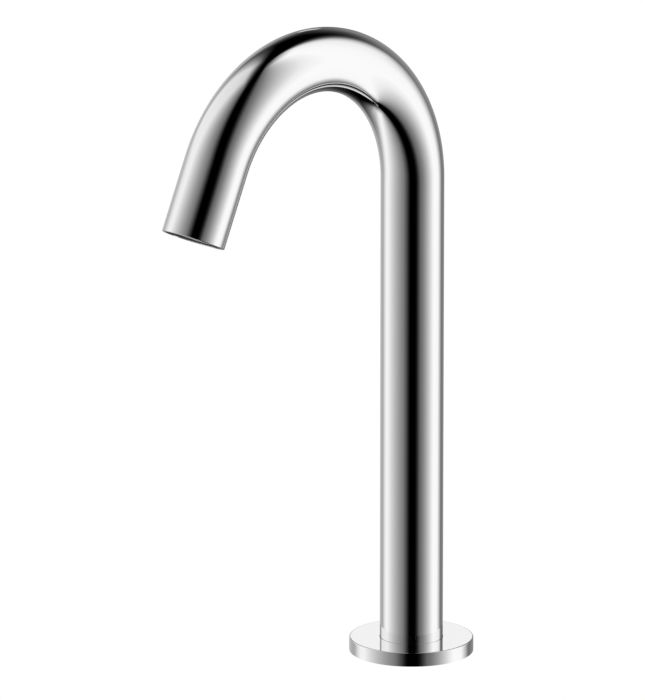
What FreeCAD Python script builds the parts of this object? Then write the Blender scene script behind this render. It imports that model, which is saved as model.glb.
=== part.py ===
import FreeCAD, Part
import math
import os
from FreeCAD import Vector

# A touch-free basin tap: one bent tube on a cover flange, a sensor beside the aerator in its tip,
# and a threaded shank below the worktop with its washers and nut.
# Millimetres. The origin is the centre of the base on the worktop, +Z is up and the tap faces -Y.

# ---- driving dimensions ----

# spout
STEM_HEIGHT = 216.0            # worktop to the start of the bend
BEND_RADIUS = 62.5
BEND_ANGLE = 155.7             # degrees
TUBE_WALL = 1.5
RIM_ROUND = 0.35

# clearances
FIT = 0.02                     # round pieces seated in each other
SLIP = 0.1                     # pieces that push in by hand
THREAD_PLAY = 0.05             # threads, which are plain at their outer diameter
SLIDE_PLAY = 0.15              # cover flange on the tube

# aerator
AERATOR_DIAMETER = 16.5
AERATOR_WALL = 1.05
AERATOR_LIP = 0.6
AERATOR_LIP_HEIGHT = 0.6
AERATOR_SET_BACK = 0.4
AERATOR_NOTCHES = 6
AERATOR_NOTCH_WIDTH = 1.6
AERATOR_NOTCH_DEPTH = 0.5
GRILLE_HEIGHT = 2.5
GRILLE_CELL = 1.5
GRILLE_WEB = 0.3
SCREEN_COUNT = 2
SCREEN_THICKNESS = 0.3
SCREEN_PITCH = 0.9
JET_HEIGHT = 3.1
JET_DISC = 1.0
JET_SKIRT = 1.0
JET_SET_BACK = 0.5             # from the housing's back edge
JET_HOLES = 12
JET_HOLE_DIAMETER = 0.9
AERATOR_WASHER_HEIGHT = 1.5
AERATOR_WASHER_WIDTH = 2.5

# presence sensor
LED_DIAMETER = 3.0
LED_BODY = 3.5
LED_LEG = 0.5
LED_LEG_LENGTH = 2.5
LED_SET_BACK = 0.5
LED_BARRIER = 0.6
SENSOR_WALL = 0.6
SENSOR_LENGTH = 17.0
SENSOR_CAP = 2.0
BOARD_THICKNESS = 0.8
BOARD_LENGTH = 10.5
BOARD_GAP = 0.2
CHIP_SIZE = 3.0
CHIP_HEIGHT = 0.7
WINDOW_THICKNESS = 1.5
WINDOW_LEDGE = 0.35
WINDOW_LIP = 0.8
GASKET_THICKNESS = 0.4

# outlet carrier
CARRIER_SET_BACK = 0.5
CARRIER_THIN_WALL = 1.15       # beside the aerator
CARRIER_SENSOR_WALL = 1.6      # beside the sensor
CARRIER_LAND = 0.95            # between the aerator and the sensor
CARRIER_WEB = 1.7
CARRIER_END = 5.0
CARRIER_CONE = 3.0
SEAL_CORD = 0.96
SEAL_PLAY = 0.24

# grub screw in the tip
SCREW_DIAMETER = 4.0
SCREW_LENGTH = 5.0
SCREW_SOCKET = 2.0
SCREW_SOCKET_DEPTH = 2.0
SCREW_SET_BACK = 0.4
SCREW_ROUND = 0.2

# water tube
HOSE_DIAMETER = 8.0
HOSE_WALL = 1.0
BARB_LENGTH = 9.0
BARB_WALL = 1.0
FERRULE_WALL = 0.6
BARB_GAP = 0.5                 # ends of the barb and its ferrule
END_GAP = 0.3

# sensor lead
LEAD_DIAMETER = 2.5
LEAD_DROP = 0.5                # below the middle of the sensor
LEAD_SEAT = 0.5
LEAD_PLAY = 0.3

# shank, base plate and cover flange
SPIGOT_LENGTH = 18.0
SHANK_LENGTH = 52.0            # below the worktop
SHANK_WALL = 2.45
SHANK_CHAMFER = 1.0
BLOCK_SHOULDER = 1.0
PLATE_THICKNESS = 2.0
GASKET_HEIGHT = 1.0
FLANGE_DIAMETER = 55.2
FLANGE_RIM = 4.1
FLANGE_LIP = 0.6
FLANGE_ROUND = 0.45
FLANGE_GAP = 0.4
FLANGE_CORD = 1.4
FLANGE_CORD_PLAY = 0.2
PLATE_GAP = 0.5

# clamp below the worktop
WORKTOP = 20.0
WASHER_DIAMETER = 44.0
WASHER_GAP = 0.3
RUBBER_THICKNESS = 3.0
STEEL_THICKNESS = 2.0
NUT_WALL = 4.0
NUT_HEIGHT = 8.0
NUT_COLLAR = 1.0

# inlet block in the shank's lower end
BLOCK_LENGTH = 14.5
PORT_DIAMETER = 9.0            # tapping size of an M10x1 thread
PORT_DEPTH = 10.0
CLIP_SET_BACK = 1.1
CLIP_THICKNESS = 1.0
CLIP_PLAY = 0.1
CLIP_WIDTH = 1.9
CLIP_GROOVE = 0.7
CLIP_GAP = 70.0                # degrees
SOCKET_DIAMETER = 6.0
SOCKET_WALL = 0.6
SOCKET_RIM = 1.2
SOCKET_DEPTH = 6.0
PIN_COUNT = 3
PIN_DIAMETER = 0.7
PIN_CIRCLE = 2.2
PIN_LENGTH = 4.5
PIN_SEAT = 2.0

# ---- sizes worked out from those above ----

aerator_radius = AERATOR_DIAMETER / 2 - THREAD_PLAY
aerator_bore = AERATOR_DIAMETER / 2
led_radius = LED_DIAMETER / 2

# rounded slots of the sensor, each given by its half height and the shared place of its round ends
slot_centre = LED_BARRIER / 2 + SLIP + led_radius
sensor_inner = led_radius + SLIP
sensor_outer = sensor_inner + SENSOR_WALL
sensor_pocket = sensor_outer + SLIP
window_opening = sensor_outer - WINDOW_LEDGE

carrier_radius = (CARRIER_THIN_WALL + AERATOR_DIAMETER + CARRIER_LAND
                  + 2 * sensor_pocket + CARRIER_SENSOR_WALL) / 2
aerator_offset = CARRIER_THIN_WALL + aerator_bore - carrier_radius
sensor_offset = carrier_radius - CARRIER_SENSOR_WALL - sensor_pocket
tube_bore = carrier_radius + SLIP
tube_radius = tube_bore + TUBE_WALL

# distances back from the end of the tip
aerator_face = CARRIER_SET_BACK + AERATOR_SET_BACK
grille_front = aerator_face + AERATOR_LIP_HEIGHT
screen_front = grille_front + GRILLE_HEIGHT
jet_front = screen_front + SCREEN_COUNT * SCREEN_PITCH
aerator_back = jet_front + JET_HEIGHT + JET_SET_BACK
chamber_back = aerator_back + AERATOR_WASHER_HEIGHT
screw_place = chamber_back + CARRIER_WEB + SCREW_DIAMETER / 2
seal_front = screw_place + SCREW_DIAMETER / 2 + CARRIER_WEB
seal_back = seal_front + SEAL_CORD + SEAL_PLAY
carrier_back = seal_back + CARRIER_END
tip_length = carrier_back + BARB_LENGTH + BARB_GAP
gasket_front = CARRIER_SET_BACK + WINDOW_LIP
window_front = gasket_front + GASKET_THICKNESS
sensor_front = window_front + WINDOW_THICKNESS
sensor_back = sensor_front + SENSOR_LENGTH
cap_back = sensor_back + SENSOR_CAP
led_front = sensor_front + LED_SET_BACK
led_back = led_front + led_radius + LED_BODY

hose_radius = HOSE_DIAMETER / 2
hose_bore = hose_radius - HOSE_WALL
barb_radius = hose_bore - FIT
water_bore = barb_radius - BARB_WALL
ferrule_length = BARB_LENGTH - BARB_GAP
lead_radius = LEAD_DIAMETER / 2
lead_offset = sensor_offset - LEAD_DROP

# heights and radii of the base
plate_top = GASKET_HEIGHT + PLATE_THICKNESS
flange_radius = FLANGE_DIAMETER / 2
recess_radius = flange_radius - FLANGE_RIM
recess_top = plate_top + FLANGE_GAP
groove_low = recess_top + FLANGE_LIP
groove_top = groove_low + FLANGE_CORD + FLANGE_CORD_PLAY
flange_height = groove_top + FLANGE_LIP
flange_bore = tube_radius + SLIDE_PLAY
plate_radius = recess_radius - PLATE_GAP
shank_bore = lead_offset + lead_radius + LEAD_PLAY
block_bore = shank_bore + BLOCK_SHOULDER
shank_radius = block_bore + SHANK_WALL
washer_bore = shank_radius + WASHER_GAP
spigot_radius = tube_bore - FIT

# heights of the inlet block, from the lower end of the shank
clip_low = -SHANK_LENGTH + CLIP_SET_BACK
block_low = clip_low + CLIP_THICKNESS + CLIP_PLAY
block_top = block_low + BLOCK_LENGTH
block_radius = block_bore - FIT
socket_radius = SOCKET_DIAMETER / 2
socket_offset = block_radius - SOCKET_RIM - socket_radius

# heights of the clamp
rubber_low = -WORKTOP - RUBBER_THICKNESS
steel_low = rubber_low - STEEL_THICKNESS
nut_low = steel_low - NUT_HEIGHT
nut_flat = shank_radius + NUT_WALL

bend_centre = Vector(0, -BEND_RADIUS, STEM_HEIGHT)
bend = math.radians(BEND_ANGLE)
tip_point = bend_centre + Vector(
    0,
    BEND_RADIUS * math.cos(bend) - tip_length * math.sin(bend),
    BEND_RADIUS * math.sin(bend) + tip_length * math.cos(bend))


# ---- shapes that repeat ----

def rod(radius, low, high, x=0.0, y=0.0):
    return Part.makeCylinder(radius, high - low, Vector(x, y, low))


def ring(outer, inner, low, high, y=0.0):
    return rod(outer, low, high, y=y).cut(rod(inner, low, high, y=y))


def box(x, y, low, high, centre_x=0.0, centre_y=0.0):
    corner = Vector(centre_x - x / 2, centre_y - y / 2, low)
    return Part.makeBox(x, y, high - low, corner)


def slot(half_height, low, high):
    """A rounded slot across the tip, with its round ends at the two places of the light parts."""
    ends = [rod(half_height, low, high, side * slot_centre, sensor_offset) for side in (-1, 1)]
    middle = box(2 * slot_centre, 2 * half_height, low, high, 0.0, sensor_offset)
    return middle.fuse(ends).removeSplitter()


def hexagon(across_flats, low, high, x=0.0, y=0.0):
    corner = across_flats / 2 / math.cos(math.pi / 6)
    points = [Vector(x + corner * math.cos(k * math.pi / 3), y + corner * math.sin(k * math.pi / 3), low)
              for k in range(7)]
    return Part.Face(Part.makePolygon(points)).extrude(Vector(0, 0, high - low))


def cord_ring(centre_radius, cord_radius, height, y=0.0):
    return Part.makeTorus(centre_radius, cord_radius, Vector(0, y, height))


def round_edge(shape, radius, height, size):
    """Rounds the circular edge that has this radius and height."""
    edges = [edge for edge in shape.Edges
             if isinstance(edge.Curve, Part.Circle)
             and abs(edge.Curve.Radius - radius) < 1e-4
             and abs(edge.Curve.Center.z - height) < 1e-4]
    return shape.makeFillet(size, edges)


def at_tip(shape):
    """Puts a shape drawn with +Z out of the outlet and +Y to the user's side onto the spout's tip."""
    placed = shape.copy()
    tip = FreeCAD.Placement(tip_point, FreeCAD.Rotation(Vector(1, 0, 0), BEND_ANGLE))
    placed.Placement = tip.multiply(shape.Placement)
    return placed


def along_spout(radius, offset, foot, tip_gap):
    """A rod that follows the spout's middle line at an offset towards its outer side."""
    stem = rod(radius, foot, STEM_HEIGHT, y=offset)
    disc = Part.Face(Part.Wire(Part.makeCircle(radius, Vector(0, offset, STEM_HEIGHT))))
    curve = disc.revolve(bend_centre, Vector(1, 0, 0), BEND_ANGLE)
    tip = at_tip(rod(radius, -tip_length, -tip_gap, y=offset))
    return stem.fuse([curve, tip]).removeSplitter()


# ---- spout ----

def spout_tube():
    outside = along_spout(tube_radius, 0.0, plate_top, RIM_ROUND)
    rim = at_tip(round_edge(rod(tube_radius, -2 * RIM_ROUND, 0.0), tube_radius, 0.0, RIM_ROUND))
    inside = along_spout(tube_bore, 0.0, plate_top, 0.0)
    hole = rod(SCREW_DIAMETER / 2 + SLIP, 0.0, 2 * tube_radius)
    hole.rotate(Vector(0, 0, 0), Vector(1, 0, 0), 90)
    hole.translate(Vector(0, 0, -screw_place))
    return outside.fuse(rim).removeSplitter().cut(inside).cut(at_tip(hole))


def outlet_carrier():
    body = rod(carrier_radius, -carrier_back, -CARRIER_SET_BACK)
    barb = rod(barb_radius, -carrier_back - BARB_LENGTH, -carrier_back, y=aerator_offset)
    chamber = rod(aerator_bore, -chamber_back, 0.0, y=aerator_offset)
    seat_bore = aerator_bore - AERATOR_WASHER_WIDTH - SLIP
    cone = Part.makeCone(water_bore, seat_bore, CARRIER_CONE,
                         Vector(0, aerator_offset, -chamber_back - CARRIER_CONE))
    water = rod(water_bore, -carrier_back - BARB_LENGTH, -chamber_back, y=aerator_offset)
    groove = ring(2 * carrier_radius, tube_bore - 2 * FIT - SEAL_CORD,
                  -seal_back, -seal_front)
    pocket = slot(sensor_pocket, -carrier_back, -gasket_front)
    opening = slot(window_opening, -gasket_front, 0.0)
    thread = rod(SCREW_DIAMETER / 2 + FIT, tube_radius - SCREW_SET_BACK - SCREW_LENGTH, 2 * tube_radius)
    thread.rotate(Vector(0, 0, 0), Vector(1, 0, 0), 90)
    thread.translate(Vector(0, 0, -screw_place))
    solid = body.fuse(barb)
    return at_tip(solid.cut([chamber, cone, water, groove, pocket, opening, thread]))


def carrier_seal():
    cord = SEAL_CORD / 2
    return at_tip(cord_ring(tube_bore - FIT - cord, cord, -(seal_front + seal_back) / 2))


def tip_grub_screw():
    outer = tube_radius - SCREW_SET_BACK
    screw = rod(SCREW_DIAMETER / 2, outer - SCREW_LENGTH, outer)
    screw = round_edge(screw, SCREW_DIAMETER / 2, outer, SCREW_ROUND)
    screw = screw.cut(hexagon(SCREW_SOCKET, outer - SCREW_SOCKET_DEPTH, outer))
    screw.rotate(Vector(0, 0, 0), Vector(1, 0, 0), 90)
    screw.translate(Vector(0, 0, -screw_place))
    return at_tip(screw)


# ---- aerator ----

def aerator_housing():
    """A threaded ring with a lip that holds the grille and notches for its key."""
    shell = ring(aerator_radius, aerator_radius - AERATOR_WALL, -aerator_back, -aerator_face)
    lip = ring(aerator_radius, aerator_radius - AERATOR_WALL - AERATOR_LIP, -grille_front, -aerator_face)
    body = shell.fuse(lip).removeSplitter()
    notches = []
    for k in range(AERATOR_NOTCHES):
        notch = box(AERATOR_WALL + AERATOR_LIP, AERATOR_NOTCH_WIDTH,
                    -aerator_face - AERATOR_NOTCH_DEPTH, 0.0, aerator_radius)
        notch.rotate(Vector(0, 0, 0), Vector(0, 0, 1), k * 360.0 / AERATOR_NOTCHES)
        notches.append(notch)
    body = body.cut(notches)
    body.translate(Vector(0, aerator_offset, 0))
    return at_tip(body)


def aerator_grille():
    """A disc of six-sided cells that straightens the water."""
    radius = aerator_radius - AERATOR_WALL - FIT
    disc = rod(radius, -screen_front, -grille_front)
    pitch = GRILLE_CELL + GRILLE_WEB
    reach = radius - AERATOR_LIP - GRILLE_CELL / 2
    rows = int(radius / pitch) + 1
    cells = []
    for column in range(-rows, rows + 1):
        for row in range(-rows, rows + 1):
            x = pitch * math.cos(math.pi / 6) * column
            y = pitch * (row + (column % 2) / 2)
            if math.hypot(x, y) < reach:
                cells.append(hexagon(GRILLE_CELL, -screen_front, -grille_front, x, y))
    disc = disc.cut(cells)
    disc.translate(Vector(0, aerator_offset, 0))
    return at_tip(disc)


def aerator_screens():
    """Shallow wire-cloth cups, stacked rim to disc."""
    radius = aerator_radius - AERATOR_WALL - FIT
    cups = []
    for k in range(SCREEN_COUNT):
        front = -screen_front - k * SCREEN_PITCH
        cup = rod(radius, front - SCREEN_PITCH, front, y=aerator_offset)
        hollow = rod(radius - AERATOR_LIP, front - SCREEN_PITCH, front - SCREEN_THICKNESS, y=aerator_offset)
        cups.append(at_tip(cup.cut(hollow)))
    return Part.makeCompound(cups)


def aerator_jet():
    """A cup whose disc has a circle of small jets."""
    radius = aerator_radius - AERATOR_WALL - FIT
    inner = radius - JET_SKIRT
    cup = rod(radius, -jet_front - JET_HEIGHT, -jet_front)
    hollow = rod(inner, -jet_front - JET_HEIGHT + JET_DISC, -jet_front)
    jets = []
    for k in range(JET_HOLES):
        angle = 2 * math.pi * k / JET_HOLES
        place = inner - JET_HOLE_DIAMETER
        jets.append(rod(JET_HOLE_DIAMETER / 2, -jet_front - JET_HEIGHT, -jet_front,
                        place * math.cos(angle), place * math.sin(angle)))
    cup = cup.cut([hollow] + jets)
    cup.translate(Vector(0, aerator_offset, 0))
    return at_tip(cup)


def aerator_washer():
    outer = aerator_bore - SLIP
    return at_tip(ring(outer, outer - AERATOR_WASHER_WIDTH, -chamber_back, -aerator_back, aerator_offset))


# ---- presence sensor ----

def sensor_window():
    plate = slot(sensor_outer, -sensor_front, -window_front)
    face = slot(window_opening - SLIP, -window_front, -CARRIER_SET_BACK - SLIP)
    return at_tip(plate.fuse(face).removeSplitter())


def sensor_gasket():
    return at_tip(slot(sensor_outer, -window_front, -gasket_front)
                  .cut(slot(window_opening, -window_front, -gasket_front)))


def sensor_housing():
    """A deep shell, open at both ends, with a barrier between the two light parts."""
    shell = slot(sensor_outer, -sensor_back, -sensor_front)
    shell = shell.cut(slot(sensor_inner, -sensor_back, -sensor_front))
    barrier = box(LED_BARRIER, 2 * sensor_inner, -led_back, -sensor_front, 0.0, sensor_offset)
    return at_tip(shell.fuse(barrier).removeSplitter())


def light_part(side):
    """A domed part with two legs, one on each face of the board."""
    x = side * slot_centre
    front = -led_front - led_radius
    body = rod(led_radius, -led_back, front, x, sensor_offset)
    dome = Part.makeSphere(led_radius, Vector(x, sensor_offset, front))
    legs = [box(LED_LEG, LED_LEG, -led_back - LED_LEG_LENGTH, -led_back, x,
                sensor_offset + face * (BOARD_THICKNESS + LED_LEG) / 2)
            for face in (-1, 1)]
    return at_tip(body.fuse([dome] + legs).removeSplitter())


def ir_emitter():
    return light_part(-1)


def ir_receiver():
    return light_part(1)


def sensor_board():
    width = 2 * (slot_centre + sensor_inner) - 2 * BOARD_GAP
    front = -led_back - BOARD_GAP
    board = box(width, BOARD_THICKNESS, front - BOARD_LENGTH, front, 0.0, sensor_offset)
    middle = front - BOARD_LENGTH / 2 - LED_LEG_LENGTH / 2
    chip = box(CHIP_SIZE, CHIP_HEIGHT, middle - CHIP_SIZE / 2, middle + CHIP_SIZE / 2,
               0.0, sensor_offset + (BOARD_THICKNESS + CHIP_HEIGHT) / 2)
    return at_tip(board.fuse(chip))


def sensor_cap():
    cap = slot(sensor_outer, -cap_back, -sensor_back)
    return at_tip(cap.cut(rod(lead_radius + FIT, -cap_back, -sensor_back, y=lead_offset)))


def sensor_lead():
    return along_spout(lead_radius, lead_offset, block_top + END_GAP, sensor_back + LEAD_SEAT)


# ---- water tube ----

def water_tube():
    low = block_top + END_GAP
    gap = carrier_back + END_GAP
    return along_spout(hose_radius, aerator_offset, low, gap).cut(
        along_spout(hose_bore, aerator_offset, low, gap))


def ferrule(low):
    inner = hose_radius + FIT
    return ring(inner + FERRULE_WALL, inner, low, low + ferrule_length, aerator_offset)


def upper_ferrule():
    return at_tip(ferrule(-carrier_back - BARB_GAP - ferrule_length))


def lower_ferrule():
    return ferrule(block_top + BARB_GAP)


# ---- base ----

def mounting_shank():
    """A threaded shank below the worktop, and a spigot above it that the tube stands round."""
    spigot = rod(spigot_radius, GASKET_HEIGHT, plate_top + SPIGOT_LENGTH)
    thread = Part.makeCone(shank_radius - SHANK_CHAMFER, shank_radius, SHANK_CHAMFER,
                           Vector(0, 0, -SHANK_LENGTH))
    thread = thread.fuse(rod(shank_radius, -SHANK_LENGTH + SHANK_CHAMFER, GASKET_HEIGHT))
    body = spigot.fuse(thread).removeSplitter()
    bore = rod(shank_bore, block_top, plate_top + SPIGOT_LENGTH)
    seat = rod(block_bore, -SHANK_LENGTH, block_top)
    groove = rod(block_bore + CLIP_GROOVE, clip_low - CLIP_PLAY / 2,
                 clip_low + CLIP_THICKNESS + CLIP_PLAY / 2)
    return body.cut([bore, seat, groove])


def base_plate():
    """A plate between the shank's shoulder and the foot of the tube."""
    return ring(plate_radius, spigot_radius + FIT, GASKET_HEIGHT, plate_top)


def deck_gasket():
    return ring(plate_radius, washer_bore, 0.0, GASKET_HEIGHT)


def base_flange():
    body = rod(flange_radius, 0.0, flange_height)
    body = round_edge(body, flange_radius, flange_height, FLANGE_ROUND)
    recess = rod(recess_radius, 0.0, recess_top)
    bore = rod(flange_bore, 0.0, flange_height)
    groove = rod(tube_radius + 2 * FIT + FLANGE_CORD, groove_low, groove_top)
    return body.cut([recess, bore, groove])


def flange_ring():
    cord = FLANGE_CORD / 2
    return cord_ring(tube_radius + FIT + cord, cord, (groove_low + groove_top) / 2)


def rubber_washer():
    return ring(WASHER_DIAMETER / 2, washer_bore, rubber_low, -WORKTOP)


def steel_washer():
    return ring(WASHER_DIAMETER / 2, washer_bore, steel_low, rubber_low)


def mounting_nut():
    """A six-sided nut with a round collar against the washer and chamfered corners."""
    corner = nut_flat / math.cos(math.pi / 6)
    body = hexagon(2 * nut_flat, nut_low, steel_low - NUT_COLLAR)
    chamfer = corner - nut_flat
    cone = Part.makeCone(nut_flat, corner, chamfer * math.tan(math.pi / 6), Vector(0, 0, nut_low))
    above = rod(corner, nut_low + chamfer * math.tan(math.pi / 6), steel_low)
    body = body.common(cone.fuse(above))
    body = body.fuse(rod(nut_flat, steel_low - NUT_COLLAR, steel_low)).removeSplitter()
    return body.cut(rod(shank_radius + THREAD_PLAY, nut_low, steel_low))


# ---- inlet block ----

def inlet_block():
    body = rod(block_radius, block_low, block_top)
    barb = rod(barb_radius, block_top, block_top + BARB_LENGTH, y=aerator_offset)
    port = rod(PORT_DIAMETER / 2, block_low, block_low + PORT_DEPTH, y=aerator_offset)
    water = rod(water_bore, block_low, block_top + BARB_LENGTH, y=aerator_offset)
    socket = rod(socket_radius + FIT, block_low, block_top, y=socket_offset)
    return body.fuse(barb).cut([port, water, socket])


def retaining_clip():
    """An open ring that springs into the shank's groove and holds the block up."""
    outer = block_bore + CLIP_GROOVE - CLIP_PLAY
    clip = ring(outer, outer - CLIP_WIDTH, clip_low, clip_low + CLIP_THICKNESS)
    reach = 2 * outer
    side = math.radians(CLIP_GAP / 2)
    wedge = Part.Face(Part.makePolygon([
        Vector(0, 0, clip_low),
        Vector(reach * math.sin(side), reach * math.cos(side), clip_low),
        Vector(-reach * math.sin(side), reach * math.cos(side), clip_low),
        Vector(0, 0, clip_low)]))
    return clip.cut(wedge.extrude(Vector(0, 0, CLIP_THICKNESS)))


def lead_socket():
    body = rod(socket_radius, block_low, block_top, y=socket_offset)
    cavity = rod(socket_radius - SOCKET_WALL, block_low, block_low + SOCKET_DEPTH, y=socket_offset)
    return body.cut([cavity] + pin_rods(FIT))


def pin_rods(clearance):
    """The pins on their circle, made larger by a clearance for the holes that hold them."""
    low = block_low + SOCKET_DEPTH - PIN_LENGTH
    high = block_low + SOCKET_DEPTH + PIN_SEAT
    pins = []
    for k in range(PIN_COUNT):
        angle = 2 * math.pi * k / PIN_COUNT
        pins.append(rod(PIN_DIAMETER / 2 + clearance, low, high + clearance,
                        PIN_CIRCLE / 2 * math.sin(angle),
                        socket_offset + PIN_CIRCLE / 2 * math.cos(angle)))
    return pins


def socket_pins():
    return Part.makeCompound(pin_rods(0.0))


PIECES = [
    spout_tube, outlet_carrier, carrier_seal, tip_grub_screw,
    aerator_housing, aerator_grille, aerator_screens, aerator_jet, aerator_washer,
    sensor_window, sensor_gasket, sensor_housing, sensor_board, sensor_cap,
    ir_emitter, ir_receiver, sensor_lead,
    water_tube, upper_ferrule, lower_ferrule,
    mounting_shank, base_plate, deck_gasket, base_flange, flange_ring,
    rubber_washer, steel_washer, mounting_nut,
    inlet_block, retaining_clip, lead_socket, socket_pins,
]


def main():
    os.makedirs("parts", exist_ok=True)
    for piece in PIECES:
        piece().exportStep(os.path.join("parts", piece.__name__ + ".step"))
    print("tube diameter", round(2 * tube_radius, 3), "tip length", round(tip_length, 3))
    print("height", round(STEM_HEIGHT + BEND_RADIUS + tube_radius, 3), "outlet", tip_point)


main()
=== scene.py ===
"""A touch-free basin tap: its polished spout, flange and tip, and the parts below the worktop."""
import math

import bmesh
import bpy
from bpy.props import FloatProperty, FloatVectorProperty, IntProperty, PointerProperty
from mathutils import Matrix, Vector


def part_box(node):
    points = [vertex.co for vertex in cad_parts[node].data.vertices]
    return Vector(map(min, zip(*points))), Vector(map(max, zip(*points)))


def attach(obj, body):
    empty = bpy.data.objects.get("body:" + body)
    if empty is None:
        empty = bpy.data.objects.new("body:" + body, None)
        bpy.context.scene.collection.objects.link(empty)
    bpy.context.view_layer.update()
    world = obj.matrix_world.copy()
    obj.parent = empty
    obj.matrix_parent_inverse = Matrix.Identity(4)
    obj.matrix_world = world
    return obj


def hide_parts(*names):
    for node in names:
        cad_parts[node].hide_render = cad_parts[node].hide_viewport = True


bl_info = {
    "name": "Sensor tap",
    "version": (1, 0, 0),
    "blender": (4, 5, 0),
    "location": "View3D > Sidebar > Tap",
    "description": "Builds a touch-free gooseneck tap and its studio around the fixed frame",
    "category": "Object",
}

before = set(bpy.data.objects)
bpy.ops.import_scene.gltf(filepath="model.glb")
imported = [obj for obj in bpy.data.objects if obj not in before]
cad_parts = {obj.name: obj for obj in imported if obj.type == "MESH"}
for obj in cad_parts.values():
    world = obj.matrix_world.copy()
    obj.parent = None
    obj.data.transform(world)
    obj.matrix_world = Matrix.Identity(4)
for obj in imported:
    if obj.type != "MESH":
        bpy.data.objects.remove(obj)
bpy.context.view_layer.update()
MM = 0.001

# The spout's middle line, in millimetres: a straight stem, a bend towards -Y and a straight tip.
BEND_RADIUS = 62.5
STEM_TOP = Vector((0.0, 0.0, 216.0))
BEND_CENTRE = Vector((0.0, -BEND_RADIUS, 216.0))
BEND = math.radians(155.7)
TIP_LENGTH = 34.0
TIP_OUT = Vector((0.0, -math.sin(BEND), math.cos(BEND)))
TIP_UP = Vector((0.0, math.cos(BEND), math.sin(BEND)))
TIP_END = BEND_CENTRE + BEND_RADIUS * TIP_UP + TIP_LENGTH * TIP_OUT
TUBE_RADIUS, TUBE_BORE, TUBE_FOOT = 14.0, 12.5, 3.0

# The tip's pieces: radii, offsets from the middle line and heights above the tip's open end.
CARRIER_RADIUS, CARRIER_FACE, CARRIER_BACK = 12.4, -0.5, -24.5
SEAL_FLOOR, SEAL_LOW, SEAL_HIGH = 11.5, -19.5, -18.3
CHAMBER_RADIUS, CHAMBER_BACK, SEAT_RADIUS = 8.25, -10.9, 5.65
AERATOR_OFFSET, AERATOR_RADIUS, AERATOR_BORE, AERATOR_LIP = -3.0, 8.2, 7.15, 6.55
AERATOR_FACE, AERATOR_BACK = -0.9, -9.4
SENSOR_OFFSET, SENSOR_REACH = 8.5, 1.9
POCKET_HEIGHT, OPENING_HEIGHT, PLATE_HEIGHT, WINDOW_HEIGHT = 2.3, 1.85, 2.2, 1.75
POCKET_FRONT, PLATE_FRONT, PLATE_BACK, WINDOW_FACE = -1.3, -1.7, -3.2, -0.6
SCREW_PLACE, SCREW_RADIUS, SCREW_INNER, SCREW_OUTER = -14.6, 2.0, 8.6, 13.6
WATER_RADIUS, BARB_RADIUS, BARB_LENGTH = 1.98, 2.98, 9.0

# The pieces below: radii that the frame's boxes don't give.
SHANK_RADIUS, SHANK_BORE, SPIGOT_RADIUS, SHOULDER = 13.0, 9.55, 12.48, 1.0
BLOCK_BORE, CLIP_GROOVE, WASHER_BORE, PLATE_BORE = 10.55, 11.25, 13.3, 12.5
PORT_RADIUS, PORT_DEPTH, SOCKET_BORE, SOCKET_DEPTH = 4.5, 10.0, 2.4, 6.0
CLIP_WIDTH, CLIP_GAP = 1.9, math.radians(70.0)
CLIP_HOLE, CLIP_EYE, CLIP_PLAY = 0.5, 1.1, 0.05
KEY_SIZE, KEY_MIDDLE = (0.7, 0.8, 5.6), 3.2
FLANGE_FIT, FLANGE_RECESS, FLANGE_LIP = 0.15, 23.5, 3.4
GROOVE_RADIUS, GROOVE_LOW, GROOVE_HIGH = 15.44, 4.0, 5.6

# Threads: the depth and pitch of each. A groove's cutter stands a little proud of the surface. Its width
# there is given in pitches, and its width at the root as a share of that.
AERATOR_THREAD, AERATOR_PITCH = 0.4, 1.0
SCREW_THREAD, SCREW_PITCH = 0.35, 0.7
PORT_THREAD, PORT_PITCH = 0.5, 1.0
SHANK_THREAD, NUT_THREAD, SHANK_PITCH = 0.78, 0.4, 1.5
THREAD_PROUD, THREAD_WIDTH, THREAD_ROOT = 0.12, 0.88, 0.15

# A right angle, half the angle between a hexagon's corners, and the sides of a small round cutter.
QUARTER, HEXAGON_HALF, ROUND = math.radians(90), math.radians(30), 48


def span(name):
    """Lowest place, highest place and reach along X of a piece of the frame, in millimetres."""
    low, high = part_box(name)
    return low.z / MM, high.z / MM, high.x / MM


# ---- modelling

def deselect_all():
    if bpy.context.mode != "OBJECT":
        bpy.ops.object.mode_set(mode="OBJECT")
    bpy.ops.object.select_all(action="DESELECT")


def make_active(piece):
    deselect_all()
    piece.select_set(True)
    bpy.context.view_layer.objects.active = piece


def settle(piece):
    """Moves the piece's place, turn and scale into its mesh."""
    make_active(piece)
    bpy.ops.object.transform_apply(location=True, rotation=True, scale=True)
    return piece


def added(name):
    """The object that was just added, named and settled."""
    piece = bpy.context.object
    piece.name = name
    return settle(piece)


def cylinder(name, sides, radius, depth, at, turn=(0.0, 0.0, 0.0)):
    """A capped cylinder with its middle at this place, in millimetres."""
    deselect_all()
    bpy.ops.mesh.primitive_cylinder_add(vertices=sides, radius=radius * MM, depth=depth * MM,
                                        rotation=turn, location=[part * MM for part in at])
    return added(name)


def cuboid(name, size, at, turn=(0.0, 0.0, 0.0)):
    """A block with its middle at this place, in millimetres."""
    deselect_all()
    bpy.ops.mesh.primitive_cube_add(size=1.0, rotation=turn, location=[part * MM for part in at],
                                    scale=[part * MM for part in size])
    return added(name)


def joined(name, pieces):
    """The pieces as one object."""
    make_active(pieces[-1])
    for piece in pieces:
        piece.select_set(True)
    bpy.ops.object.join()
    return added(name)


def edit(piece, action="DESELECT"):
    """Goes into edit mode with nothing selected, or with all of the piece."""
    make_active(piece)
    bpy.ops.object.mode_set(mode="EDIT")
    bpy.ops.mesh.select_all(action=action)


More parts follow.
